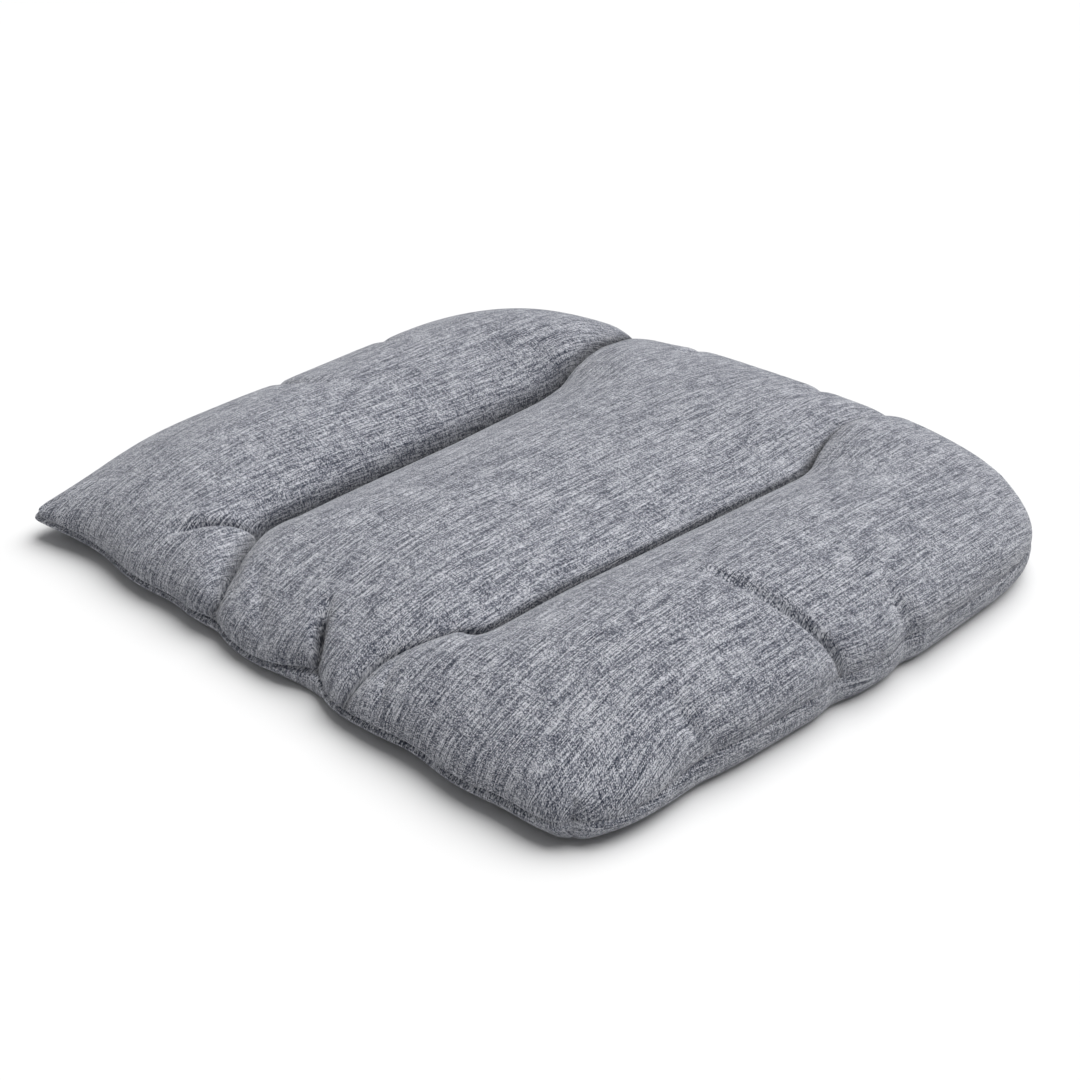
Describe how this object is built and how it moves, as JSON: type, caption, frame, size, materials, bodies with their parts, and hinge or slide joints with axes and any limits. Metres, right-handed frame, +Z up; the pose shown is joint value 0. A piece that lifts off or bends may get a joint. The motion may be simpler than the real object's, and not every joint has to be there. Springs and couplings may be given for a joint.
{
  "type": "chair seat pad",
  "caption": "Stuffed fabric seat pad for a chair, with a straight front edge, rounded rear corners, bowed sides and sewn quilting channels that divide the top into soft lobes.",
  "frame": {"origin": "under the middle of the pad, on the surface that it lies on", "axes": "+X along the front edge, to the right when the pad is seen from its front; +Y from the straight front edge to the rounded back edge; +Z up through the thickness"},
  "size_m": [0.48, 0.448, 0.062],
  "materials": {
    "cover_fabric": "matte",
    "fill_fibre": "matte",
    "sewing_thread": "matte",
    "overlock_thread": "matte"
  },
  "bodies": {
    "root": {"top_panel": "cover_fabric", "bottom_panel": "cover_fabric", "fibre_fill": "fill_fibre", "edge_seam_needle_thread": "sewing_thread", "edge_seam_bobbin_thread": "sewing_thread", "closing_seam_thread": "sewing_thread", "overlock_thread": "overlock_thread", "left_quilt_needle_thread": "sewing_thread", "left_quilt_bobbin_thread": "sewing_thread", "right_quilt_needle_thread": "sewing_thread", "right_quilt_bobbin_thread": "sewing_thread", "front_left_bar_tack": "sewing_thread", "front_right_bar_tack": "sewing_thread", "rear_left_bar_tack": "sewing_thread", "rear_right_bar_tack": "sewing_thread"}
  },
  "joints": []
}
